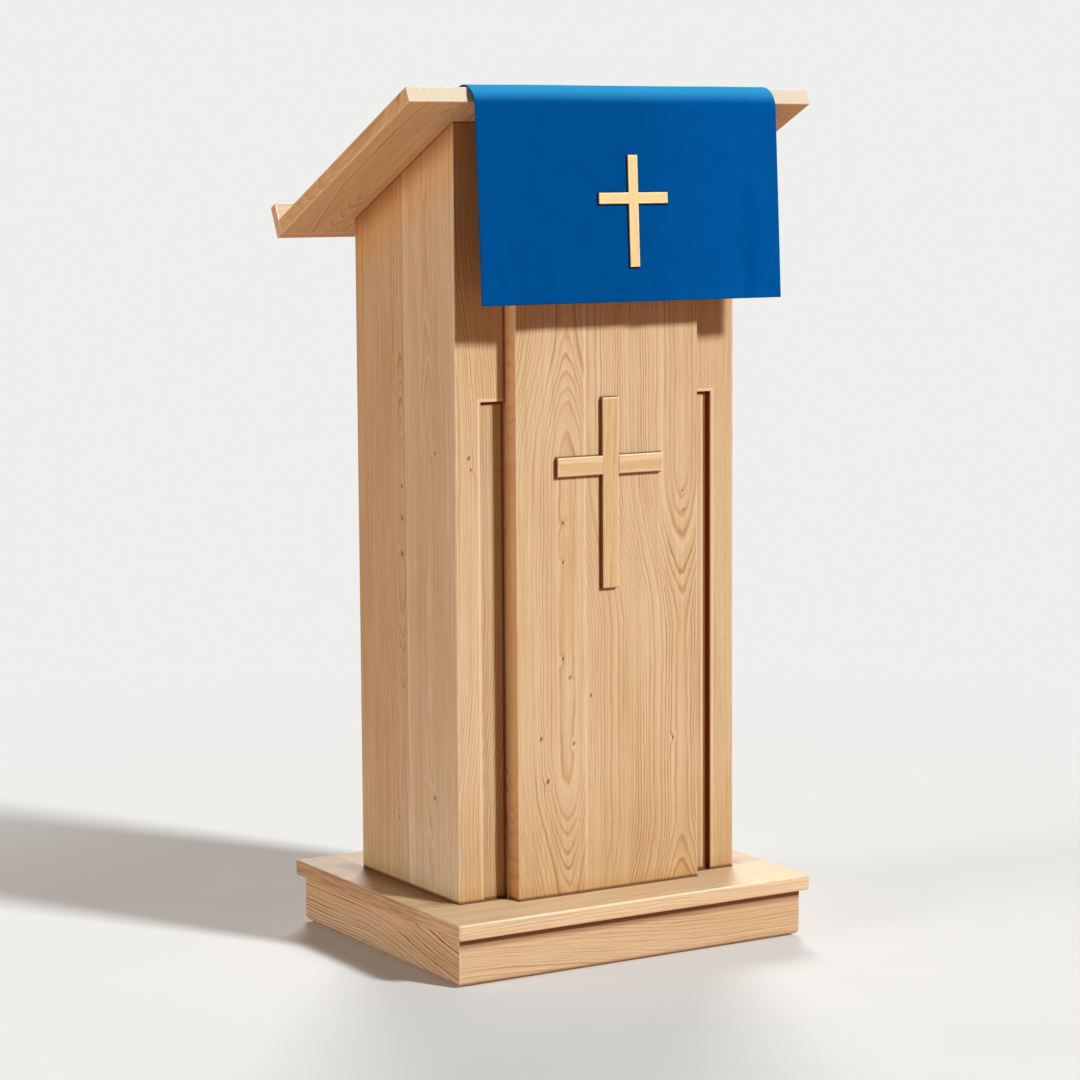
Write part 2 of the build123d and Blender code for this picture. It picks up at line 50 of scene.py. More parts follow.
# ---------------------------------------------------------------- node helper
class Net:
    """Adds nodes to one tree, a formula at a time. A value is a socket or a constant."""

    def __init__(self, tree):
        self.tree = tree

    def node(self, kind, **settings):
        made = self.tree.nodes.new(kind)
        for name, value in settings.items():
            setattr(made, name, value)
        return made

    def feed(self, socket, value):
        if isinstance(value, bpy.types.NodeSocket):
            self.tree.links.new(value, socket)
        else:
            socket.default_value = value

    def calc(self, operation, *values, clamp=False):
        made = self.node("ShaderNodeMath", operation=operation, use_clamp=clamp)
        for socket, value in zip(made.inputs, values):
            self.feed(socket, value)
        return made.outputs[0]

    def times(self, first, *others, clamp=False):
        for value in others:
            first = self.calc("MULTIPLY", first, value, clamp=clamp)
        return first

    def plus(self, a, b):
        return self.calc("ADD", a, b)

    def minus(self, a, b):
        return self.calc("SUBTRACT", a, b)

    def most(self, a, b):
        return self.calc("MAXIMUM", a, b)

    def least(self, a, b):
        return self.calc("MINIMUM", a, b)

    def absolute(self, a):
        return self.calc("ABSOLUTE", a)

    def length(self, a, b):
        """Length of the flat vector (a, b)."""
        return self.calc("SQRT", self.plus(self.times(a, a), self.times(b, b)))

    def vector(self, operation, *values, out=0):
        made = self.node("ShaderNodeVectorMath", operation=operation)
        for socket, value in zip(made.inputs, values):
            self.feed(socket, value)
        return made.outputs[out]

    def scale(self, vector, factor):
        made = self.node("ShaderNodeVectorMath", operation="SCALE")
        self.feed(made.inputs[0], vector)
        self.feed(made.inputs[3], factor)
        return made.outputs[0]

    def ramp(self, value, low, high, to_low=0.0, to_high=1.0, kind="SMOOTHSTEP"):
        made = self.node("ShaderNodeMapRange", interpolation_type=kind)
        for socket, given in zip(made.inputs, (value, low, high, to_low, to_high)):
            self.feed(socket, given)
        return made.outputs[0]

    def window(self, value, low, high, soft):
        """1 between low and high, falling to 0 over soft on each side."""
        return self.times(self.ramp(value, low - soft, low), self.ramp(value, high, high + soft, 1.0, 0.0))

    def noise(self, vector, detail=1.0, roughness=0.5, scale=1.0):
        made = self.node("ShaderNodeTexNoise")
        self.feed(made.inputs["Vector"], vector)
        self.feed(made.inputs["Scale"], scale)
        self.feed(made.inputs["Detail"], detail)
        self.feed(made.inputs["Roughness"], roughness)
        return made.outputs[0]

    def mix(self, factor, a, b, mode="MIX"):
        made = self.node("ShaderNodeMix", data_type="RGBA", blend_type=mode)
        for index, value in ((0, factor), (6, a), (7, b)):
            if index and isinstance(value, tuple) and len(value) == 3:
                value = (*value, 1.0)
            self.feed(made.inputs[index], value)
        return made.outputs[2]

    def split(self, vector):
        made = self.node("ShaderNodeSeparateXYZ")
        self.feed(made.inputs[0], vector)
        return list(made.outputs)

    def join(self, x, y, z):
        made = self.node("ShaderNodeCombineXYZ")
        for socket, value in zip(made.inputs, (x, y, z)):
            self.feed(socket, value)
        return made.outputs[0]


def new_group(name, inputs, outputs):
    """An empty node group, from the (name, kind) pairs of its inputs and outputs.

    Returns its net, the sockets that give its inputs and the sockets that take its outputs.
    """
    tree = bpy.data.node_groups.new(name, "ShaderNodeTree")
    kinds = {"f": "NodeSocketFloat", "v": "NodeSocketVector", "c": "NodeSocketColor"}
    for label, kind in inputs:
        tree.interface.new_socket(label, in_out="INPUT", socket_type=kinds[kind])
    for label, kind in outputs:
        tree.interface.new_socket(label, in_out="OUTPUT", socket_type=kinds[kind])
    net = Net(tree)
    source, sink = net.node("NodeGroupInput"), net.node("NodeGroupOutput")
    return net, source.outputs, sink.inputs


def new_material(name):
    """(material, net, its Principled shader, its object coordinates in millimetres)."""
    material = bpy.data.materials.new(name)
    material.use_nodes = True
    net = Net(material.node_tree)
    shader = material.node_tree.nodes["Principled BSDF"]
    coords = net.node("ShaderNodeTexCoord").outputs["Object"]
    return material, net, shader, net.scale(coords, 1 / MM)


def add_bump(net, shader, height, strength, distance):
    made = net.node("ShaderNodeBump")
    net.feed(made.inputs["Strength"], strength)
    net.feed(made.inputs["Distance"], distance)
    net.feed(made.inputs["Height"], height)
    net.feed(shader.inputs["Normal"], made.outputs[0])


# ---------------------------------------------------------------- wood
EARLY = (0.590, 0.408, 0.232)      # pale ash between the ring lines
LATE = (0.400, 0.185, 0.055)       # ring lines
ARRIS = (0.740, 0.580, 0.400)      # pale edges, worn and with a painted highlight; also the grain's pale streaks
CROSS_SHADE = (0.170, 0.042, 0.005)      # painted shade on the crosses' sides, and round the cross on the panel
REBATE_SHADE = (0.215, 0.058, 0.004)     # painted shade in the rebates
END_FACE = (0.630, 0.565, 0.435)   # pale front end of the desk board: its wood, with a painted highlight
JOINT_AND_SHADOW = (0.140, 0.050, 0.015)      # the dark line where a board stands on another; also the painted shadow under the slab's overhang
PIN_KNOT = (0.200, 0.075, 0.022)   # knots
REBATE_EDGE, REBATE_TOP, REBATE_T = 187.0, 779.0, 7.0       # |x|, z and depth of the stiles' rebates
PANEL_EDGE = 148.0                 # |x| of the raised panel's sides
BODY_FACE, PANEL_FACE = -137, -164      # Y of the stiles' and of the raised panel's front
STILE_REACH, BOARD_REACH = 320.0, 100.0     # how far the painted shade under the desk reaches down
BODY_FOOT = [f"{side}_side_{board}_board" for side in ("left", "right") for board in ("front", "rear")]
BODY_FOOT += ["left_front_stile", "right_front_stile", "raised_panel_left_board", "raised_panel_right_board"]
PANEL_CROSS = ("panel_cross_upright", "panel_cross_arm")
CLOTH_CROSS = ("cloth_cross_upright", "cloth_cross_arm")


def make_knot_group():
    """A pin knot: how dark a point is, and how far the rings are pushed out around it."""
    net, given, made = new_group(
        "pin_knot", [("P", "v"), ("Across", "f"), ("Along", "f"), ("Radius", "f")],
        [("Dark", "f"), ("Warp", "f")])
    across, _, along = net.split(given["P"])
    side = net.minus(across, given["Across"])
    up = net.times(net.minus(along, given["Along"]), 0.6)
    lean = net.minus(side, net.times(up, 0.5))
    share = net.calc("DIVIDE", net.length(lean, up), given["Radius"])
    net.feed(made["Dark"], net.ramp(share, 0.35, 1.25, 1.0, 0.0))
    reach = net.ramp(share, 0.0, 5.0, 1.0, 0.0)
    net.feed(made["Warp"], net.times(reach, given["Radius"], 1.3))
    return net.tree


def edge_distance(net, point, low, high):
    """Distance to the nearest edge of a box: the middle one of the three distances to its faces."""
    gap = net.vector("MINIMUM", net.vector("SUBTRACT", point, low), net.vector("SUBTRACT", high, point))
    a, b, c = net.split(net.vector("ABSOLUTE", gap))
    return net.most(net.least(a, b), net.least(net.most(a, b), c))


def make_wood_group():
    """Solid wood: growth rings about a pith line, fibres, streaks, flecks, tone and pale arrises, worn and
    with a painted highlight.

    P is (across, through the thickness, along the grain) in millimetres. Pith is (across, through). Far from
    Bend's centre the rings' distance from the pith changes by its rise, which draws the arches of flat-sawn
    wood. The change begins flat millimetres from the centre and ends span millimetres further on.
    """
    net, given, made = new_group(
        "solid_wood",
        [("P", "v"), ("Pith", "v"), ("Bend", "v"), ("Span", "f"), ("Ring", "f"), ("Seed", "f"), ("Low", "v"),
         ("High", "v"), ("Contrast", "f"), ("Knots", "f"), ("Warp", "f"), ("Edge_wear_and_highlight", "f"),
         ("Early", "c"), ("Late", "c"), ("Arris", "c")],
        [("Color", "c"), ("Roughness", "f"), ("Height", "f")])
    seed = net.scale((17.3, 5.1, 9.7), given["Seed"])

    def stretched(x, y, z, **settings):
        return net.noise(net.vector("MULTIPLY_ADD", given["P"], (x, y, z), seed), **settings)

    def swing(value, size):
        return net.times(net.minus(value, 0.5), 2 * size)

    def uneven_by(size, period):
        """Noise along the radius that makes some rings wider than others, with a period in rings."""
        uneven = net.node("ShaderNodeTexNoise", noise_dimensions="1D")
        net.feed(uneven.inputs["W"], net.plus(net.calc("DIVIDE", rings, period), given["Seed"]))
        net.feed(uneven.inputs["Scale"], 1.0)
        net.feed(uneven.inputs["Detail"], 0.0)
        return swing(uneven.outputs[0], size)

    across, depth, along = net.split(given["P"])
    pith_across, pith_depth, _ = net.split(given["Pith"])
    centre, rise, flat = net.split(given["Bend"])
    side = net.minus(across, pith_across)
    deep = net.minus(depth, pith_depth)
    radius = net.length(side, deep)
    run = net.absolute(net.minus(along, centre))
    bend = net.times(net.ramp(run, flat, net.plus(flat, given["Span"])), rise)
    slow = swing(stretched(1 / 80, 1 / 80, 1 / 420), 6.0)
    quick = swing(stretched(1 / 16, 1 / 16, 1 / 70), 2.2)
    fine = swing(stretched(1 / 3.5, 1 / 3.5, 1 / 15), 0.60)
    for part in (bend, slow, quick, fine, given["Warp"]):
        radius = net.plus(radius, part)

    rings = net.calc("DIVIDE", radius, given["Ring"])
    phase = net.plus(rings, net.plus(uneven_by(1.3, 6.5), uneven_by(0.42, 2.4)))
    share = net.calc("FRACT", phase)
    white = net.node("ShaderNodeTexWhiteNoise", noise_dimensions="1D")
    net.feed(white.inputs["W"], net.plus(net.calc("FLOOR", phase), given["Seed"]))
    strong = net.ramp(white.outputs["Value"], 0.0, 1.0, 0.35, 1.0, kind="LINEAR")
    line = net.times(net.ramp(share, 0.50, 0.84), net.ramp(share, 0.86, 1.0, 1.0, 0.0))
    patch = net.ramp(stretched(1 / 34, 1 / 34, 1 / 200, detail=1.0), 0.34, 0.60, 0.30, 1.0)
    over_pith = net.times(net.ramp(net.absolute(side), 3.0, 11.0, 1.0, 0.0),
                          net.ramp(run, flat, net.plus(flat, 45.0), 1.0, 0.0))
    faint = net.calc("MULTIPLY_ADD", over_pith, -0.75, 1.0)
    line = net.times(line, strong, patch, faint)
    pale = net.times(net.window(share, 0.04, 0.14, 0.08), strong)
    fibre = net.ramp(stretched(0.8, 0.8, 0.018, detail=3.0, roughness=0.6), 0.3, 0.7)
    streak = net.ramp(stretched(1 / 5, 1 / 5, 1 / 330, detail=2.0, roughness=0.6), 0.32, 0.68)
    fleck = net.ramp(stretched(1.3, 1.3, 0.09, detail=1.0), 0.62, 0.74)
    tone = net.ramp(stretched(1 / 48, 1 / 48, 1 / 380, detail=2.0), 0.35, 0.68)

    color = net.mix(net.times(tone, 0.60), given["Early"],
                    net.vector("MULTIPLY", given["Early"], (0.90, 0.82, 0.71)))
    color = net.mix(net.times(streak, 0.30), color, given["Arris"])
    color = net.mix(net.times(line, given["Contrast"], clamp=True), color, given["Late"])
    color = net.mix(net.times(pale, 0.30), color, given["Arris"])
    color = net.scale(color, net.ramp(fibre, 0.0, 1.0, 0.93, 1.05, kind="LINEAR"))
    color = net.mix(net.times(fleck, 0.35), color, given["Late"])

    # Pale arrises: wear, and a painted highlight.
    edge = edge_distance(net, given["P"], given["Low"], given["High"])
    patchy_wear_and_highlight = net.ramp(stretched(1 / 9, 1 / 9, 1 / 30), 0.3, 0.7, 0.45, 1.0)
    arris = net.times(net.ramp(edge, 0.8, 3.0, 1.0, 0.0), patchy_wear_and_highlight)
    color = net.mix(net.times(arris, given["Edge_wear_and_highlight"], clamp=True), color, given["Arris"])
    color = net.mix(given["Knots"], color, PIN_KNOT)
    net.feed(made["Color"], color)

    rough = net.calc("MULTIPLY_ADD", fibre, 0.10, 0.47)
    rough = net.calc("MULTIPLY_ADD", line, -0.06, rough)
    net.feed(made["Roughness"], net.calc("MULTIPLY_ADD", arris, -0.08, rough))
    height = net.calc("MULTIPLY_ADD", line, 0.5, net.times(fibre, 0.5))
    height = net.calc("MULTIPLY_ADD", fleck, -0.45, height)
    net.feed(made["Height"], net.calc("MULTIPLY_ADD", given["Knots"], -0.8, height))
    return net.tree


KNOT, WOOD = make_knot_group(), make_wood_group()


def spread(node, tilt, axes):
    """Lowest and highest corner of a node in its board's own axes, in millimetres."""
    turn = Matrix.Rotation(tilt, 3, "X")
    points = [turn @ v.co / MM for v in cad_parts[node].data.vertices]
    order = ["XYZ".index(letter) for letter in axes]
    return [[pick(p[i] for p in points) for i in order] for pick in (min, max)]


def paint_rebate_shade(net, color, across, depth, along, face):
    """Painted shade on the walls of a stile's rebate and in the corners of its floor, painted highlights
    beside them.
    """
    size = net.absolute(across)
    right = net.ramp(across, -1.0, 1.0)
    inside = net.times(net.window(depth, face + 0.7, face + REBATE_T + 0.5, 0.3),
                       net.ramp(along, REBATE_TOP + 0.3, REBATE_TOP + 0.6, 1.0, 0.0))
    floor = net.times(inside, net.ramp(depth, face + REBATE_T - 1.0, face + REBATE_T - 0.6))
    wall = net.times(inside, net.ramp(depth, face + REBATE_T - 1.0, face + REBATE_T - 0.6, 1.0, 0.0))
    on_face = net.ramp(depth, face + 0.2, face + 0.5, 1.0, 0.0)

    # Painted highlight: a strip of the right rebate's floor, and the rim of both rebates.
    beside = net.times(floor, right, net.window(size, REBATE_EDGE - 10.6, REBATE_EDGE - 7.4, 0.8),
                       net.ramp(along, REBATE_TOP - 9.0, REBATE_TOP - 5.0, 1.0, 0.0))
    outer = net.times(net.window(size, REBATE_EDGE + 2.6, REBATE_EDGE + 5.2, 0.9),
                      net.ramp(along, REBATE_TOP + 3.5, REBATE_TOP + 4.5, 1.0, 0.0))
    above = net.times(net.window(along, REBATE_TOP + 0.9, REBATE_TOP + 3.8, 0.9),
                      net.ramp(size, REBATE_EDGE + 3.5, REBATE_EDGE + 4.5, 1.0, 0.0))
    rim = net.times(net.most(outer, above), on_face)

    # Painted shade: the walls, the floor next to them, the corner at the panel, and a strip beside the right
    # rebate.
    near = net.most(net.times(right, net.ramp(size, REBATE_EDGE - 9.0, REBATE_EDGE - 6.0)),
                    net.ramp(along, REBATE_TOP - 5.0, REBATE_TOP - 4.0))
    corner = net.times(net.ramp(size, PANEL_EDGE + 2.0, PANEL_EDGE + 6.0, 1.0, 0.0), 0.85)
    shaded_corners = net.most(net.most(net.times(floor, near), wall), corner)
    shaded_strip = net.times(right, net.window(size, REBATE_EDGE, REBATE_EDGE + 1.6, 0.5),
                       net.ramp(along, REBATE_TOP + 0.3, REBATE_TOP + 1.3, 1.0, 0.0), on_face)

    # Painted shade: the rebate's floor a little darker.
    color = net.mix(floor, color, (0.89, 0.89, 0.86), "MULTIPLY")
    color = net.mix(net.times(net.most(rim, beside), 0.60), color, ARRIS)
    color = net.mix(net.times(shaded_strip, 0.8), color, (0.430, 0.175, 0.035))
    return net.mix(net.times(shaded_corners, 0.98), color, REBATE_SHADE)


def clearance(net, places, nodes):
    """Distance from the boxes of some CAD nodes, seen along one axis. places is {axis index: socket}."""
    nearest = 1000.0
    for node in nodes:
        low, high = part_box(node)
        off = []
        for axis, at in places.items():
            middle, half = (low[axis] + high[axis]) / 2 / MM, (high[axis] - low[axis]) / 2 / MM
            off.append(net.minus(net.absolute(net.minus(at, middle)), half))
        nearest = net.least(nearest, net.most(*off))
    return nearest


def under_desk(net, node, color, place, reach):
    """A dark joint line at a board's top edge, where the sloping desk lies on it, and painted shade below it,
    browner and warmer.
    """
    slope = Vector((0.0, math.sin(DESK_SLOPE), math.cos(DESK_SLOPE)))
    top = max(slope.dot(v.co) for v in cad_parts[node].data.vertices) / MM
    below = net.minus(top, net.vector("DOT_PRODUCT", place, slope, out=1))
    # Painted shade under the desk: browner, warmer wood.
    color = net.mix(net.ramp(below, 0.35 * reach, reach, 0.8, 0.0), color, (1.02, 0.86, 0.60), "MULTIPLY")
    return net.mix(net.ramp(below, 0.8, 2.4, 0.75, 0.0), color, JOINT_AND_SHADOW)


def slab_marks(net, color, x, y, z, half):
    """Calm brown wood on the slab's ends, a dark line where the body stands, and a painted shadow of the body
    beside it.
    """
    grain = net.noise(net.join(0.0, net.times(y, 0.012), net.times(z, 0.35)), detail=2.0)
    end_wood = net.mix(net.ramp(grain, 0.3, 0.7), (0.440, 0.275, 0.145), (0.690, 0.510, 0.320))
    end = net.ramp(net.minus(half, net.absolute(x)), 0.3, 2.6, 0.9, 0.0)
    color = net.mix(end, color, end_wood)
    off = clearance(net, {0: x, 1: y}, BODY_FOOT)
    body_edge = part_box("right_side_rear_board")[1][0] / MM
    # Painted shadow of the body on the slab's top, beside it.
    aside = net.times(net.ramp(net.absolute(x), body_edge - 4.0, body_edge + 1.0),
                      net.ramp(y, BODY_FACE - 6.0, BODY_FACE + 24.0))
    body_shadow = net.times(net.ramp(off, 6.0, 44.0, 0.78, 0.25), aside)
    color = net.mix(body_shadow, color, (0.190, 0.072, 0.022))
    return net.mix(net.ramp(off, 0.6, 3.0, 0.85, 0.0), color, JOINT_AND_SHADOW)


def side_marks(net, color, local, low, high, side_tone, end_face):
    """The tones of a board's narrow faces, as board_marks says."""
    across, depth, along = net.split(local)
    if side_tone:
        edge = low[0] if side_tone < 0 else high[0]
        off = net.absolute(net.minus(across, edge))
        color = net.mix(net.ramp(off, 0.2, 0.8, 0.62, 0.0), color, (0.56, 0.29, 0.11))
    if end_face:
        flank = net.least(net.minus(across, low[0]), net.minus(high[0], across))
        on_flank = net.ramp(flank, 0.3, 0.9, 1.0, 0.0)
        on_underside = net.ramp(depth, low[1] + 0.3, low[1] + 0.9, 1.0, 0.0)
        color = net.mix(on_flank, color, (1.00, 0.96, 0.86), "MULTIPLY")
        color = net.mix(on_underside, color, (1.00, 1.14, 1.22), "MULTIPLY")
        # The pale front end: its wood, with a painted highlight.
        color = net.mix(net.ramp(along, low[2] + 0.2, low[2] + 0.9, 0.72, 0.0), color, END_FACE)
    return color


def board_marks(net, color, node, place, local, low, high, side_tone=0, end_face=False, rebate=False,
                foot=None, stands=False, cross=(), lip=False, is_slab=False, dark_back=None):
    """Painted shade and highlights, joint lines and tones that only some boards have, over the colour of
    their wood.

    side_tone -1 or 1 gives the narrow face at that end of "across" a browner tone. end_face is for the desk,
    with its pale front end (its wood with a painted highlight), flanks and underside. foot is (height, tone)
    of a board's foot, a tone that fades out upwards: painted shade when darker, painted light when paler. A
    board that stands has dark joint lines at the slab and under the desk, and painted shade above the slab
    and under the desk. cross names the nodes of a cross that stands on the board, with painted shade round
    it. lip is for a board under the slab's overhang, with a painted shadow of the overhang along its top.
    dark_back is the depth behind its face from which a cross's sides get painted shade.
    """
    across, depth, along = net.split(local)
    color = side_marks(net, color, local, low, high, side_tone, end_face)
    if rebate:
        color = paint_rebate_shade(net, color, across, depth, along, low[1])
    if foot:
        height, tone = foot
        # A tone towards the board's foot: painted shade when darker, painted light when paler.
        color = net.mix(net.ramp(along, low[2], low[2] + height, 1.0, 0.0), color, tone, "MULTIPLY")
    if stands:
        # Painted shade: darker and warmer just above the slab.
        shade_above_slab = net.ramp(along, low[2] + 3.0, low[2] + 26.0, 1.0, 0.0)
        color = under_desk(net, node, color, place, STILE_REACH if rebate else BOARD_REACH)
        color = net.mix(shade_above_slab, color, (0.92, 0.83, 0.68), "MULTIPLY")
        color = net.mix(net.ramp(along, low[2] + 1.8, low[2] + 5.6, 0.92, 0.0), color, JOINT_AND_SHADOW)
    if cross:
        # Painted shade round the cross that stands on the board.
        outline = net.ramp(clearance(net, {0: across, 2: along}, cross), 0.3, 2.6, 0.80, 0.0)
        color = net.mix(outline, color, CROSS_SHADE)
    if lip:
        # Painted shadow of the slab's overhang along the board's top.
        color = net.mix(net.ramp(net.minus(high[0], across), 9.0, 20.0, 0.62, 0.0), color, JOINT_AND_SHADOW)
    if is_slab:
        color = slab_marks(net, color, along, across, depth, high[2])
    if dark_back is not None:
        # Painted shade on a cross's sides, behind its face.
        behind = net.ramp(depth, low[1] + dark_back, low[1] + dark_back + 0.5, 0.0, 0.93)
        color = net.mix(behind, color, CROSS_SHADE)
    return color


def knot_fields(net, local, knots):
    """How dark the knots of a board make a point, and how far they push out the rings there."""
    dark, warp = 0.0, 0.0
    for across, along, radius in knots:
        knot = net.node("ShaderNodeGroup", node_tree=KNOT)
        for label, value in (("P", local), ("Across", across), ("Along", along), ("Radius", radius)):
            net.feed(knot.inputs[label], value)
        dark = net.most(dark, knot.outputs["Dark"])
        warp = net.plus(warp, knot.outputs["Warp"])
    return dark, warp


def wood(node, axes="XYZ", tilt=0.0, pith=None, bend=None, span=200, ring=4.2, tint=(1, 1, 1), contrast=0.95,
         late=1.0, knots=(), edge_wear_and_highlight=0.75, **marks):
    """Wood of a board's own. axes names the directions across, through and along its grain.

    pith is (across, through), bend (centre along the grain, rise, half its flat middle), a knot (across,
    along, radius), all in millimetres. pith and bend are drawn by chance where they aren't given.
    edge_wear_and_highlight says how pale the board's arrises are, from wear and a painted highlight, late how
    bright its ring lines. marks go to board_marks.
    """
    draw = random.Random(node)
    low, high = spread(node, tilt, axes)
    middle = [(a + b) / 2 for a, b in zip(low, high)]
    if pith is None:
        pith = (middle[0] + draw.uniform(-25, 25), low[1] - draw.uniform(20, 70))
    if bend is None:
        bend = (middle[2] + draw.uniform(-150, 150), draw.choice((-1, 1)) * draw.uniform(12, 26), 90)
    material, net, shader, place = new_material("wood_" + node)
    if tilt:
        turned = net.node("ShaderNodeVectorRotate", rotation_type="X_AXIS")
        net.feed(turned.inputs["Vector"], place)
        net.feed(turned.inputs["Angle"], tilt)
        place = turned.outputs[0]
    parts = net.split(place)
    local = net.join(*[parts["XYZ".index(letter)] for letter in axes])

    def shade(color):
        return (*(c * t for c, t in zip(color, tint)), 1.0)

    dark, warp = knot_fields(net, local, knots)
    values = dict(
        P=local, Pith=(*pith, 0.0), Bend=bend, Span=span, Ring=ring, Seed=draw.uniform(0, 40), Low=low,
        High=high, Contrast=contrast, Knots=dark, Warp=warp, Edge_wear_and_highlight=edge_wear_and_highlight, Early=shade(EARLY),
        Late=shade([late * c for c in LATE]), Arris=shade(ARRIS))
    body = net.node("ShaderNodeGroup", node_tree=WOOD)
    for label, value in values.items():
        net.feed(body.inputs[label], value)
    color = board_marks(net, body.outputs["Color"], node, place, local, low, high, **marks)
    net.feed(shader.inputs["Base Color"], color)
    net.feed(shader.inputs["Roughness"], body.outputs["Roughness"])
    shader.inputs["Specular IOR Level"].default_value = 0.28
    add_bump(net, shader, body.outputs["Height"], 0.22, 0.0004)
    return material


def paint(node, material):
    """Gives every material slot of a CAD node one material."""
    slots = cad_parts[node].data.materials
    if not len(slots):
        slots.append(material)
    for index in range(len(slots)):
        slots[index] = material


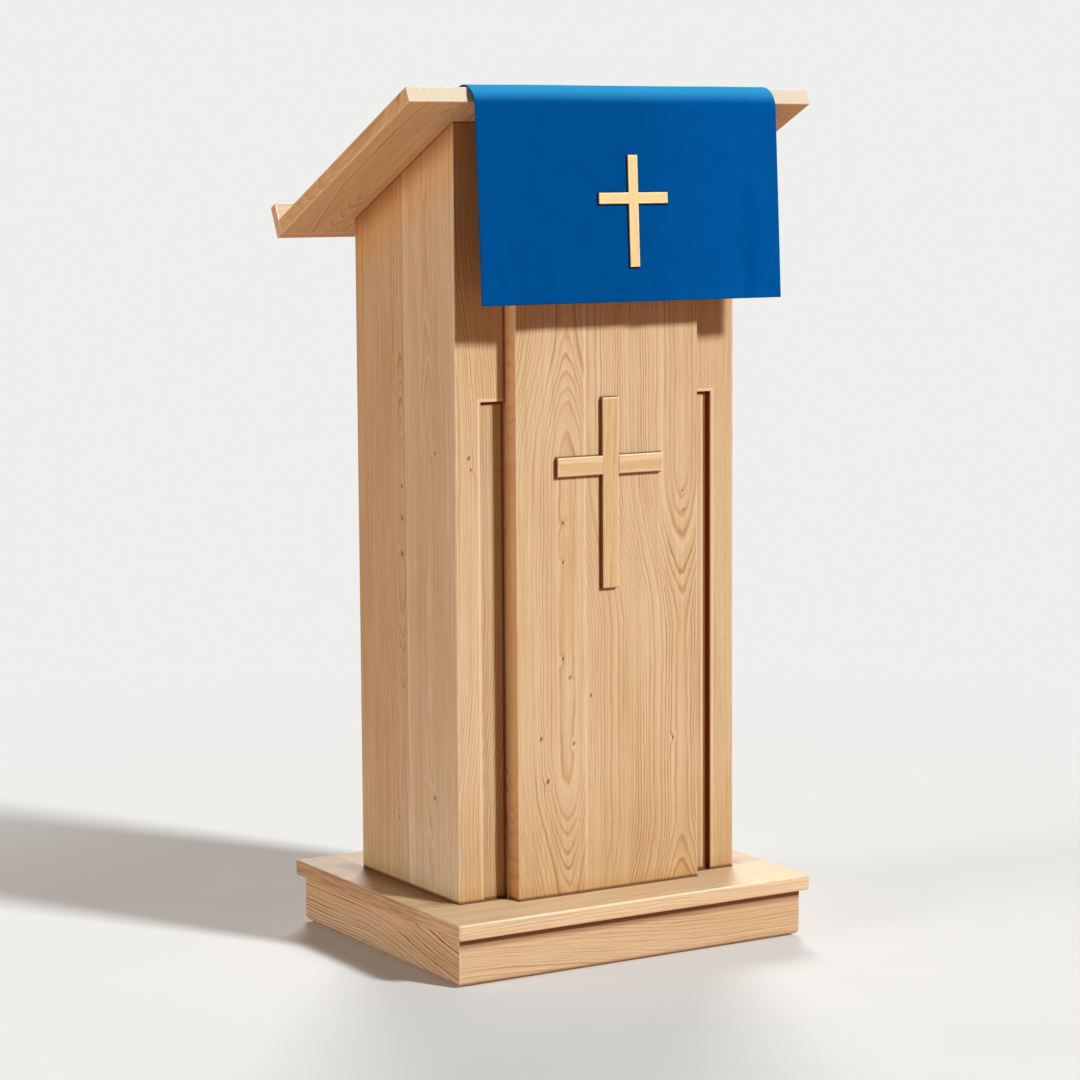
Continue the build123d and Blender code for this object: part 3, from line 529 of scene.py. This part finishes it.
# Directions across, through and along the grain of the boards.
FRONT, SIDE, LONG, DEEP, LEVEL, SLOPING = "XYZ", "YXZ", "ZYX", "ZXY", "YZX", "XZY"
CLOTH_FOLD, CLOTH_HEM = (-200.0, 1228.7), (-214.7, 912.0)       # (Y, Z) of the cloth's bend and low edge
DROP = math.atan2(CLOTH_FOLD[0] - CLOTH_HEM[0], CLOTH_FOLD[1] - CLOTH_HEM[1])   # lean of the hanging cloth
SHADED_FOOT, LIT_FOOT = (190.0, (0.88, 0.80, 0.70)), (420.0, (1.10, 1.18, 1.26))     # (height, tone): painted shade at the foot of the front boards, painted light at the foot of the left side
BOARDS = {
    # Front of the body
    "raised_panel_left_board": dict(
        axes=FRONT, pith=(-68, PANEL_FACE + 16), bend=(480, 36, 200), span=220, ring=5.8, side_tone=-1,
        stands=True, foot=SHADED_FOOT, cross=PANEL_CROSS, knots=[
            (-74, 610, 1.9), (-74, 556, 1.8), (-75, 422, 2.0), (-64, 395, 1.8), (-111, 313, 2.4),
            (-58, 302, 2.1), (-100, 253, 2.8)]),
    "raised_panel_right_board": dict(
        axes=FRONT, pith=(121, PANEL_FACE + 17), bend=(322, -38, 130), span=230, ring=5.8, side_tone=1,
        stands=True, foot=SHADED_FOOT, cross=PANEL_CROSS, knots=[
            (-30, 367, 1.9), (106, 295, 1.8), (123, 644, 1.4), (124, 616, 1.3)]),
    "left_front_stile": dict(axes=FRONT, pith=(-236, BODY_FACE + 14), bend=(600, 22, 160), span=260, ring=4.6,
                             rebate=True, stands=True, foot=SHADED_FOOT,
                             knots=[(-206, 704, 2.3), (-203, 688, 1.7)]),
    "right_front_stile": dict(axes=FRONT, pith=(330, BODY_FACE + 20), bend=(500, 8, 200), ring=3.0,
                              contrast=0.6, rebate=True, stands=True, foot=SHADED_FOOT),
    "front_backing_board": dict(axes=FRONT),
    # Sides
    "left_side_front_board": dict(axes=SIDE, pith=(-60, -255), bend=(500, 12, 200), span=300, ring=5.5,
                                  contrast=0.50, tint=(1.0, 1.09, 1.22), stands=True, foot=LIT_FOOT,
                                  knots=[(-70, 228, 2.7), (-80, 707, 1.8)]),
    "left_side_rear_board": dict(axes=SIDE, pith=(17, -211), bend=(590, 24, 45), span=230, ring=4.4,
                                 contrast=0.95, tint=(0.91, 0.92, 0.90), stands=True, foot=LIT_FOOT,
                                 knots=[(16, 655, 2.2), (16, 610, 2.8), (17, 560, 3.2), (36, 184, 2.0)]),
    "right_side_front_board": dict(axes=SIDE, pith=(-50, 200), bend=(420, 26, 140), span=260, ring=4.6,
                                   stands=True, knots=[(-84, 655, 1.8), (-66, 640, 1.4)]),
    "right_side_rear_board": dict(axes=SIDE, pith=(90, 205), bend=(650, -26, 120), span=260, ring=4.2,
                                  tint=(0.97, 0.93, 0.88), stands=True, knots=[(60, 340, 2.0)]),
    # Base
    "base_slab": dict(axes=LEVEL, pith=(-60, -150), bend=(-120, 12, 120), span=240, ring=4.2, contrast=0.7,
                      tint=(1.13, 1.16, 1.20), edge_wear_and_highlight=1.2, is_slab=True),
    "plinth_front_board": dict(axes=LONG, pith=(-38, -190), bend=(-330, 26, 60), span=420, ring=4.4,
                               contrast=0.8, lip=True),
    "plinth_rear_board": dict(axes=LONG, pith=(100, 190), bend=(60, 20, 110)),
    "plinth_left_board": dict(axes=DEEP, pith=(-42, -262), bend=(-330, -52, 40), span=330, ring=5.2,
                              tint=(1.09, 1.15, 1.24), contrast=1.5, late=0.5),
    "plinth_right_board": dict(axes=DEEP, pith=(-30, 262), bend=(-200, 34, 60), span=300, ring=4.8),
    "plinth_centre_bearer": dict(axes=DEEP),
    "plinth_corner_blocks": dict(axes=FRONT),
    # Desk
    "desk_board": dict(axes=SLOPING, tilt=DESK_SLOPE, pith=(-250, 1010), bend=(-520, 26, 60), span=260,
                       ring=5.0, tint=(1.03, 1.02, 1.00), end_face=True),
    "book_ledge": dict(axes=LONG, tilt=DESK_SLOPE),
    "left_desk_cleat": dict(axes=SLOPING, tilt=DESK_SLOPE),
    "right_desk_cleat": dict(axes=SLOPING, tilt=DESK_SLOPE),
    # Inside
    "left_floor_cleat": dict(axes=SLOPING),
    "right_floor_cleat": dict(axes=SLOPING),
    "front_top_rail": dict(axes=LONG),
    "rear_top_rail": dict(axes=LONG, pith=(1000, 190)),
    "rear_kick_rail": dict(axes=LONG, pith=(120, 190)),
    "shelf": dict(axes=LEVEL, pith=(30, 655)),
    # Crosses
    "panel_cross_upright": dict(axes=FRONT, pith=(22, -120), bend=(640, 4, 200), ring=5.0, contrast=0.6,
                                tint=(1.04, 0.98, 0.86), edge_wear_and_highlight=1.2, dark_back=1.5),
    "panel_cross_arm": dict(axes=LONG, pith=(672, -120), bend=(0, 4, 90), ring=5.0, contrast=0.6,
                            tint=(1.13, 1.11, 1.06), edge_wear_and_highlight=1.2, dark_back=1.5),
    "cloth_cross_upright": dict(axes=FRONT, tilt=DROP, pith=(40, -160), bend=(1000, 3, 100), ring=4.0,
                                contrast=0.25, tint=(1.40, 1.38, 1.08), edge_wear_and_highlight=1.0, dark_back=0.9),
    "cloth_cross_arm": dict(axes=LONG, tilt=DROP, pith=(1080, -160), bend=(0, 3, 100), ring=4.0,
                            contrast=0.25, tint=(1.40, 1.38, 1.08), edge_wear_and_highlight=1.0, dark_back=0.9),
    # Pegs
    "rail_dowels": dict(axes=LONG, ring=2.0),
    "ledge_dowels": dict(axes=SLOPING, tilt=DESK_SLOPE, ring=2.0),
    "plinth_dowels": dict(axes=FRONT, ring=2.0),
    "cross_dowels": dict(axes=SLOPING, ring=2.0),
}
for board, settings in BOARDS.items():
    paint(board, wood(board, **settings))


# ---------------------------------------------------------------- steel and felt
def zinc_steel():
    material, net, shader, place = new_material("zinc_steel")
    cloud = net.noise(place, detail=3.0, scale=0.35)
    net.feed(shader.inputs["Base Color"], net.mix(cloud, (0.62, 0.62, 0.60), (0.42, 0.43, 0.44)))
    net.feed(shader.inputs["Roughness"], net.ramp(cloud, 0.3, 0.7, 0.28, 0.45))
    shader.inputs["Metallic"].default_value = 1.0
    add_bump(net, shader, net.noise(place, detail=2.0, scale=2.5), 0.1, 0.0002)
    return material


def pad_felt():
    material, net, shader, place = new_material("pad_felt")
    fluff = net.noise(place, detail=4.0, roughness=0.7, scale=1.4)
    net.feed(shader.inputs["Base Color"], net.mix(fluff, (0.10, 0.08, 0.06), (0.22, 0.18, 0.14)))
    net.feed(shader.inputs["Roughness"], net.ramp(fluff, 0.3, 0.7, 0.85, 1.0))
    add_bump(net, shader, fluff, 0.5, 0.0006)
    return material


STEEL = zinc_steel()
for metal in ("slab_screws", "panel_screws", "desk_cleat_screws", "floor_cleat_screws", "desk_screws",
              "shelf_pins"):
    paint(metal, STEEL)
paint("floor_pads", pad_felt())


# ---------------------------------------------------------------- cloth
CLOTH_FLAT = (0.482, 0.592)
CLOTH_T = 2.2                                   # thickness between the hems
HEM_W, HEM_EXTRA = 13.0, 0.3                    # hem band, and how much thicker it is
CLOTH_X = 12.0                                  # X of its middle
THREAD = 1.3                                    # from one thread of its weave to the next
DESK_ARRIS = (-181.0, 1200.0)                   # upper front arris of the desk (Y, Z)
CLOTH_LIFT_OFF, CLOTH_REACH = 64.0, 290.0       # along the slope from that arris
CLOTH_OVER_DESK = 1.7                           # from the desk's face to the middle of the cloth
CLOTH_BENDS = (60.0, 30.7)                      # radii where it leaves the desk and at its fold
CLOTH_STEP = 4.2                                # of its mesh
CLOTH_FOLDS = (                                 # (X from the cloth's middle, height, width) at the hem
    (22, 2.6, 17), (50, -2.0, 14), (150, 1.4, 13), (174, 2.8, 12), (198, -1.8, 11), (-92, 1.8, 24),
    (-140, -1.2, 20), (-196, 1.6, 16), (100, -1.2, 16))


def on_desk(distance):
    """Point of the cloth's middle at a distance down the slope, as a (Y, Z) vector."""
    s, c = math.sin(DESK_SLOPE), math.cos(DESK_SLOPE)
    return Vector((DESK_ARRIS[0] + distance * c + CLOTH_OVER_DESK * s,
                   DESK_ARRIS[1] - distance * s + CLOTH_OVER_DESK * c))


def rounded(points, radii, step=1.0):
    """Points along a polyline with arcs of the given radii at its inner corners."""
    line = [points[0]]
    for before, corner, after, radius in zip(points, points[1:], points[2:], radii):
        back, on = (before - corner).normalized(), (after - corner).normalized()
        half = math.acos(max(-1.0, min(1.0, back.dot(on)))) / 2
        inset = radius / math.tan(half)
        centre = corner + (back + on).normalized() * (radius / math.sin(half))
        start, end = corner + back * inset - centre, corner + on * inset - centre
        turn = math.atan2(start.x * end.y - start.y * end.x, start.dot(end))
        count = max(4, round(abs(turn) * radius / step))
        for i in range(count + 1):
            a = turn * i / count
            line.append(centre + Vector((start.x * math.cos(a) - start.y * math.sin(a),
                                         start.x * math.sin(a) + start.y * math.cos(a))))
    return line + [points[-1]]


def walk(line):
    """(total length, function from a length to the point and the outward normal there)."""
    marks = [0.0]
    for a, b in zip(line, line[1:]):
        marks.append(marks[-1] + (b - a).length)

    def at(s):
        s = min(max(s, 0.0), marks[-1])
        i = max(k for k in range(len(marks) - 1) if marks[k] <= s)
        share = (s - marks[i]) / (marks[i + 1] - marks[i])
        return line[i].lerp(line[i + 1], share)

    def normal(s):
        tangent = (at(s + 1.5) - at(s - 1.5)).normalized()
        return Vector((-tangent.y, tangent.x))

    return marks[-1], at, normal


def smooth(value, low, high):
    t = min(max((value - low) / (high - low), 0.0), 1.0)
    return t * t * (3 - 2 * t)


def spaced(length, step):
    """Distances along one side of the cloth, close together at the rounded edges and over the hem."""
    edge = [0.0, 0.25, 0.7, 1.4, 2.6, 4.5, 7.0, 9.5, 11.6, HEM_W - 0.5, HEM_W, HEM_W + 0.5, 15.0, 18.0]
    count = round((length - 2 * edge[-1]) / step)
    inner = [edge[-1] + (length - 2 * edge[-1]) * i / count for i in range(1, count)]
    return edge + inner + [length - e for e in reversed(edge)]


def sheet_faces(across, down):
    """Faces of a closed sheet: its front grid of points, then its back one, and the rim that joins them."""
    total = across * down
    faces = []
    for r in range(down - 1):
        for c in range(across - 1):
            quad = [r * across + c, r * across + c + 1, (r + 1) * across + c + 1, (r + 1) * across + c]
            faces.append(quad)
            faces.append([total + i for i in reversed(quad)])
    rim = ([c for c in range(across)] + [r * across + across - 1 for r in range(1, down)]
           + [(down - 1) * across + c for c in range(across - 2, -1, -1)]
           + [r * across for r in range(down - 2, 0, -1)])
    for a, b in zip(rim, rim[1:] + rim[:1]):
        faces.append([b, a, total + a, total + b])
    return faces


def make_cloth():
    """The cloth over the desk's high edge: a thin closed sheet with hems, rounded edges and soft folds."""
    line = rounded([on_desk(CLOTH_REACH), on_desk(CLOTH_LIFT_OFF), Vector(CLOTH_FOLD), Vector(CLOTH_HEM)],
                   CLOTH_BENDS)
    length, at, normal = walk(line)
    width = CLOTH_FLAT[0] / MM
    fold = CLOTH_REACH - CLOTH_LIFT_OFF + 60    # length from the rear hem to the start of the hanging part
    rows, columns = spaced(length, CLOTH_STEP), spaced(width, CLOTH_STEP)

    def ripple(u, s):
        """How far the cloth stands off its straight drop: soft folds that open towards the hem."""
        x, hang = u - width / 2, smooth(s, fold + 30, length)
        flat_at_cross = (1 - smooth(abs(x), 45, 95)) * (1 - smooth(s, length - 60, length - 12))
        wave = sum(size * math.exp(-((x - mid - 8 * hang) / wide) ** 2) for mid, size, wide in CLOTH_FOLDS)
        wave += 0.7 * math.sin(x / 23 + 2.1 + 0.9 * hang) + 0.8 * math.sin(x / 58 - 0.6)
        edge = -1.4 * smooth(abs(x), width / 2 - 26, width / 2)
        hung = (hang ** 1.4) * wave * 1.15 + hang * edge
        lying = 0.5 * (1 - smooth(s, fold - 40, fold)) * (1 + math.sin(x / 40 + s / 60))
        roll = 0.7 * smooth(s, fold - 20, fold + 20) * (1 - hang) * math.sin(x / 45 + 1.0)
        return (hung + roll) * (1 - flat_at_cross) + lying

    def thick(u, s):
        """Its thickness: hems with a faint groove beside them, and a round edge."""
        rim = min(u, width - u, s, length - s)
        hem = 1 - smooth(rim, HEM_W - 0.6, HEM_W + 0.4)
        groove = math.exp(-((rim - HEM_W) / 0.7) ** 2)
        full = CLOTH_T + HEM_EXTRA * hem - 0.18 * groove
        radius = full / 2
        return 2 * math.sqrt(max(radius ** 2 - max(radius - rim, 0.0) ** 2, (0.12 * radius) ** 2))

    front, back = [], []
    for s in rows:
        middle, out = at(s), normal(s)
        for u in columns:
            half, lift = thick(u, s) / 2, ripple(u, s)
            for side, sign in ((front, 1), (back, -1)):
                p = middle + out * (lift + sign * half)
                side.append(Vector((CLOTH_X + u - width / 2, p.x, p.y)) * MM)
    mesh = bpy.data.meshes.new("altar_cloth")
    mesh.from_pydata([tuple(p) for p in front + back], [], sheet_faces(len(columns), len(rows)))
    mesh.validate()
    mesh.update()
    mesh.shade_smooth()
    cloth = bpy.data.objects.new("draped_cloth", mesh)
    bpy.context.scene.collection.objects.link(cloth)
    return cloth


def blue_cloth():
    """Napped blue cloth: fine weave, mottling, painted light brighter to the right, a painted highlight over
    the fold, a painted shadow round the cross.
    """
    material, net, shader, place = new_material("blue_cloth")
    mottle = net.noise(place, detail=3.0, roughness=0.55, scale=0.025)
    nap = net.noise(net.vector("MULTIPLY", place, (1.0, 1.0, 0.5)), detail=3.0, roughness=0.65, scale=0.9)
    x, y, z = net.split(place)
    turn = 2 * math.pi / THREAD
    warp = net.calc("SINE", net.times(x, turn))
    weft = net.calc("SINE", net.times(net.plus(z, net.times(y, 0.5)), turn))
    weave = net.times(warp, weft)
    color = net.mix(net.ramp(mottle, 0.3, 0.7), (0.0003, 0.0570, 0.216), (0.0004, 0.0620, 0.234))
    # Painted light: the cloth brighter towards the right.
    color = net.scale(color, net.ramp(x, CLOTH_X - 40, CLOTH_X + 190, 1.10, 1.32))
    _, rearward, upward = net.split(net.node("ShaderNodeNewGeometry").outputs["Normal"])
    # Painted highlight on the upward-facing cloth over the fold.
    fold_highlight = net.times(net.ramp(upward, 0.20, 0.85),
                     net.ramp(y, DESK_ARRIS[0] + 3.0, DESK_ARRIS[0] + 21.0, 1.0, 0.0))
    color = net.mix(fold_highlight, color, (0.026, 0.262, 0.520))
    # The painted shadow round the cross is only on the front face, and wider on the left and below, away from
    # the key light.
    off = clearance(net, {0: net.plus(x, 0.8), 2: net.plus(z, 0.9)}, CLOTH_CROSS)
    cross_shadow = net.times(net.ramp(off, 0.6, 2.6, 0.85, 0.0), net.ramp(rearward, -0.8, -0.5, 1.0, 0.0))
    color = net.mix(cross_shadow, color, (0.001, 0.008, 0.030))
    color = net.scale(color, net.ramp(nap, 0.3, 0.7, 0.93, 1.07, kind="LINEAR"))
    color = net.scale(color, net.ramp(weave, -1.0, 1.0, 0.97, 1.03, kind="LINEAR"))
    net.feed(shader.inputs["Base Color"], color)
    net.feed(shader.inputs["Roughness"], net.ramp(nap, 0.3, 0.7, 0.78, 0.92))
    shader.inputs["Specular IOR Level"].default_value = 0.0
    shader.inputs["Sheen Weight"].default_value = 0.35
    shader.inputs["Sheen Roughness"].default_value = 0.35
    shader.inputs["Sheen Tint"].default_value = (0.0, 0.45, 0.90, 1.0)
    add_bump(net, shader, net.calc("MULTIPLY_ADD", weave, 0.35, nap), 0.30, 0.0004)
    return material


cloth = make_cloth()
cloth.data.materials.append(blue_cloth())
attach(cloth, "cloth")
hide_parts("pulpit_cloth")


# ---------------------------------------------------------------- floor, light and camera
BACKDROP = (0.86, 0.86, 0.855)
CAMERA_AT, LENS = (-2.297, -3.807, 1.089), 104.52
VIEW_ANGLES = (-30.97, 6.71, -0.37)     # azimuth, elevation and roll in degrees
BOUNCE = (0.50, 0.27, 0.18)        # what the floor gives back to the wood: the warm shade of a wooden hall


def camera_only(net, seen, otherwise):
    """A shader that is seen by the camera joined with another one that lights the object."""
    choose = net.node("ShaderNodeMixShader")
    net.feed(choose.inputs[0], net.node("ShaderNodeLightPath").outputs["Is Camera Ray"])
    net.feed(choose.inputs[1], otherwise)
    net.feed(choose.inputs[2], seen)
    return choose.outputs[0]


def make_floor():
    mesh = bpy.data.meshes.new("studio_floor")
    half = 30.0
    corners = [(-half, -half, 0), (half, -half, 0), (half, half, 0), (-half, half, 0)]
    mesh.from_pydata(corners, [], [(0, 1, 2, 3)])
    floor = bpy.data.objects.new("studio_floor", mesh)
    bpy.context.scene.collection.objects.link(floor)
    floor.visible_shadow = False                # the low fill light comes from under it
    material, net, shader, place = new_material("studio_floor")
    cloud = net.noise(place, detail=2.0, scale=0.004)
    net.feed(shader.inputs["Base Color"], net.mix(cloud, (0.66, 0.66, 0.655), (0.69, 0.69, 0.685)))
    shader.inputs["Roughness"].default_value = 0.9
    shader.inputs["Specular IOR Level"].default_value = 0.1
    glow = net.node("ShaderNodeEmission")
    glow.inputs["Color"].default_value = (*BACKDROP, 1.0)
    blend = net.node("ShaderNodeMixShader")
    net.feed(blend.inputs[0], net.ramp(net.vector("LENGTH", place, out=1), 700.0, 2600.0))
    net.feed(blend.inputs[1], shader.outputs[0])
    net.feed(blend.inputs[2], glow.outputs[0])
    warm = net.node("ShaderNodeBsdfDiffuse")
    warm.inputs["Color"].default_value = (*BOUNCE, 1.0)
    output = next(n for n in material.node_tree.nodes if n.type == "OUTPUT_MATERIAL")
    net.feed(output.inputs["Surface"], camera_only(net, blend.outputs[0], warm.outputs[0]))
    mesh.materials.append(material)


def make_world(ambient, tint):
    world = bpy.data.worlds.new("studio")
    bpy.context.scene.world = world
    world.use_nodes = True
    net = Net(world.node_tree)
    lit = world.node_tree.nodes["Background"]
    lit.inputs["Color"].default_value = (*tint, 1.0)
    lit.inputs["Strength"].default_value = ambient
    seen = net.node("ShaderNodeBackground")
    seen.inputs["Color"].default_value = (*BACKDROP, 1.0)
    output = next(n for n in world.node_tree.nodes if n.type == "OUTPUT_WORLD")
    net.feed(output.inputs["Surface"], camera_only(net, seen.outputs[0], lit.outputs[0]))


def sun(name, towards, strength, angle, color=(1, 1, 1)):
    """A distant light that comes from the direction towards."""
    light = bpy.data.lights.new(name, "SUN")
    light.energy, light.angle, light.color = strength, math.radians(angle), color
    lamp = bpy.data.objects.new(name, light)
    lamp.rotation_mode = "QUATERNION"
    lamp.rotation_quaternion = Vector(towards).to_track_quat("Z", "Y")
    bpy.context.scene.collection.objects.link(lamp)


def make_camera():
    azimuth, elevation, roll = (math.radians(angle) for angle in VIEW_ANGLES)
    back = Vector((math.sin(azimuth) * math.cos(elevation), -math.cos(azimuth) * math.cos(elevation),
                   math.sin(elevation)))
    right = (-back).cross(Vector((0, 0, 1))).normalized()
    up = right.cross(-back)
    side = right * math.cos(roll) + up * math.sin(roll)
    over = up * math.cos(roll) - right * math.sin(roll)
    data = bpy.data.cameras.new("photo_camera")
    data.sensor_width, data.lens = 36.0, LENS
    data.clip_start, data.clip_end = 0.05, 200.0
    camera = bpy.data.objects.new("photo_camera", data)
    bpy.context.scene.collection.objects.link(camera)
    camera.matrix_world = Matrix.Translation(CAMERA_AT) @ Matrix((side, over, back)).transposed().to_4x4()
    bpy.context.scene.camera = camera


make_floor()
make_world(0.15, (1.0, 0.80, 0.62))
sun("key", (0.53, -1.0, 0.73), 4.05, 7, (0.91, 0.97, 0.99))
sun("fill_left", (-1.0, 0.04, 0.22), 1.45, 25, (1.0, 0.94, 0.89))
sun("rim", (0.6, 1.0, 0.8), 2.0, 20, (1.0, 0.97, 0.94))
sun("fill_low", (-0.2, -0.15, -1.0), 0.8, 60, (1.0, 0.86, 0.72))
make_camera()
bpy.context.scene.view_settings.view_transform = "Standard"
